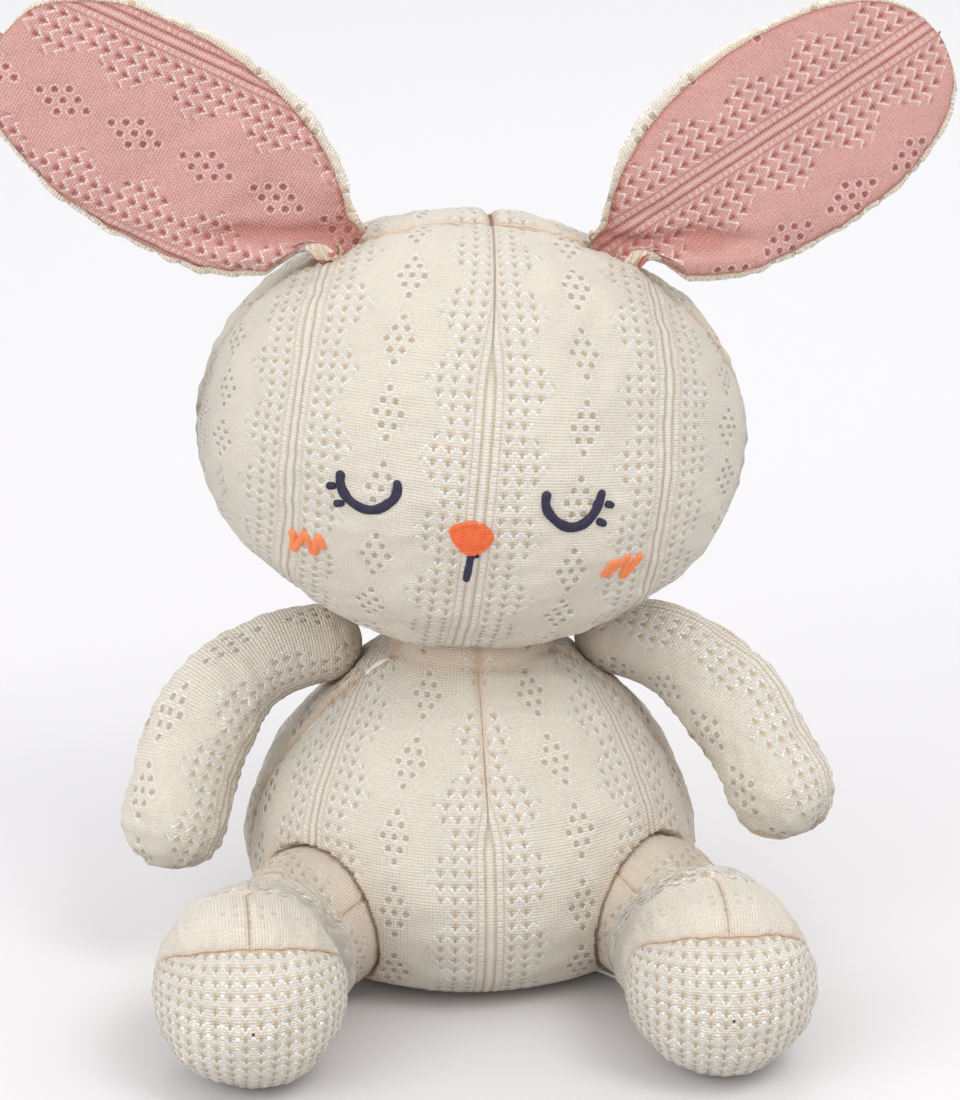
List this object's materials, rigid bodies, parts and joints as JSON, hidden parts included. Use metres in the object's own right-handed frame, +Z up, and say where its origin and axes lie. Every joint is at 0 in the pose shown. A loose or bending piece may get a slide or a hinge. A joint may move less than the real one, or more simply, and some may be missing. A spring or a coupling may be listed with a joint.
{
  "type": "stuffed toy rabbit",
  "caption": "Sitting stuffed rabbit in openwork cream knit with padded pink-lined ears, closed embroidered eyes, and soft arms and legs that flex at the seams.",
  "frame": {"origin": "on the floor under the middle of the toy's outline, sitting", "axes": "+Z up, the face looks along -Y, +X is the toy's own left"},
  "size_m": [0.2454, 0.1952, 0.2551],
  "materials": {
    "cream_knit": "matte",
    "pink_knit": "matte",
    "polyester_filling": "matte",
    "navy_thread": "satin",
    "orange_thread": "satin",
    "apricot_thread": "satin",
    "bag_cloth": "matte",
    "plastic_beads": "satin",
    "label_ribbon": "satin",
    "backing_cloth": "matte",
    "cream_thread": "matte"
  },
  "bodies": {
    "torso": {"torso_front_panel": "cream_knit", "torso_back_left_panel": "cream_knit", "torso_back_right_panel": "cream_knit", "torso_stuffing": "polyester_filling", "bead_bag": "bag_cloth", "bead_fill": "plastic_beads", "tail_cover": "cream_knit", "tail_stuffing": "polyester_filling", "care_label": "label_ribbon"},
    "neck": {"neck_stuffing": "polyester_filling", "neck_thread": "cream_thread"},
    "head": {"head_front_panel": "cream_knit", "head_back_left_panel": "cream_knit", "head_back_right_panel": "cream_knit", "head_stuffing": "polyester_filling", "face_backing": "backing_cloth", "eye_embroidery_left": "navy_thread", "eye_embroidery_right": "navy_thread", "nose_embroidery": "orange_thread", "mouth_embroidery": "navy_thread", "cheek_embroidery_left": "apricot_thread", "cheek_embroidery_right": "apricot_thread"},
    "ear_left": {"ear_left_inner_panel": "pink_knit", "ear_left_outer_panel": "cream_knit", "ear_left_padding": "polyester_filling"},
    "shoulder_left": {"shoulder_left_knot": "polyester_filling"},
    "arm_left": {"arm_left_front_panel": "cream_knit", "arm_left_back_panel": "cream_knit", "arm_left_stuffing": "polyester_filling"},
    "leg_left": {"leg_left_outer_panel": "cream_knit", "leg_left_inner_panel": "cream_knit", "foot_left_sole_panel": "cream_knit", "leg_left_stuffing": "polyester_filling"},
    "ear_right": {"ear_right_inner_panel": "pink_knit", "ear_right_outer_panel": "cream_knit", "ear_right_padding": "polyester_filling"},
    "shoulder_right": {"shoulder_right_knot": "polyester_filling"},
    "arm_right": {"arm_right_front_panel": "cream_knit", "arm_right_back_panel": "cream_knit", "arm_right_stuffing": "polyester_filling"},
    "leg_right": {"leg_right_outer_panel": "cream_knit", "leg_right_inner_panel": "cream_knit", "foot_right_sole_panel": "cream_knit", "leg_right_stuffing": "polyester_filling"}
  },
  "joints": [
    {"name": "neck_turn", "type": "hinge", "parent": "torso", "child": "neck", "pos_m": [-0.00156, 0.0156, 0.076], "axis": [0, 0, 1], "range_deg": [-45, 45], "stiffness_Nm_per_rad": 0.15},
    {"name": "neck_nod", "type": "hinge", "parent": "neck", "child": "head", "pos_m": [-0.00156, 0.0156, 0.076], "axis": [1, 0, 0], "range_deg": [-4, 4], "stiffness_Nm_per_rad": 0.6},
    {"name": "ear_left_flop", "type": "hinge", "parent": "head", "child": "ear_left", "pos_m": [0.03383, 0.0121, 0.1896], "axis": [0.5067, -0.1792, -0.8433], "range_deg": [-30, 55], "stiffness_Nm_per_rad": 0.012},
    {"name": "ear_right_flop", "type": "hinge", "parent": "head", "child": "ear_right", "pos_m": [-0.03417, 0.0121, 0.1936], "axis": [0.5141, 0.1783, 0.839], "range_deg": [-30, 55], "stiffness_Nm_per_rad": 0.012},
    {"name": "arm_left_lift", "type": "hinge", "parent": "torso", "child": "shoulder_left", "pos_m": [0.03694, 0.0226, 0.08], "axis": [0, -1, 0], "range_deg": [-2, 10], "stiffness_Nm_per_rad": 0.09},
    {"name": "arm_left_swing", "type": "hinge", "parent": "shoulder_left", "child": "arm_left", "pos_m": [0.03694, 0.0226, 0.08], "axis": [-1, 0, 0], "range_deg": [-35, 35], "stiffness_Nm_per_rad": 0.09},
    {"name": "arm_right_lift", "type": "hinge", "parent": "torso", "child": "shoulder_right", "pos_m": [-0.04007, 0.0226, 0.08], "axis": [0, 1, 0], "range_deg": [-2, 22], "stiffness_Nm_per_rad": 0.09},
    {"name": "arm_right_swing", "type": "hinge", "parent": "shoulder_right", "child": "arm_right", "pos_m": [-0.04007, 0.0226, 0.08], "axis": [-1, 0, 0], "range_deg": [-35, 50], "stiffness_Nm_per_rad": 0.09},
    {"name": "leg_left_swing", "type": "hinge", "parent": "torso", "child": "leg_left", "pos_m": [0.04244, -0.023, 0.021], "axis": [-1, 0, 0], "range_deg": [-40, 15], "stiffness_Nm_per_rad": 0.2},
    {"name": "leg_right_swing", "type": "hinge", "parent": "torso", "child": "leg_right", "pos_m": [-0.04557, -0.023, 0.021], "axis": [-1, 0, 0], "range_deg": [-40, 15], "stiffness_Nm_per_rad": 0.2}
  ]
}
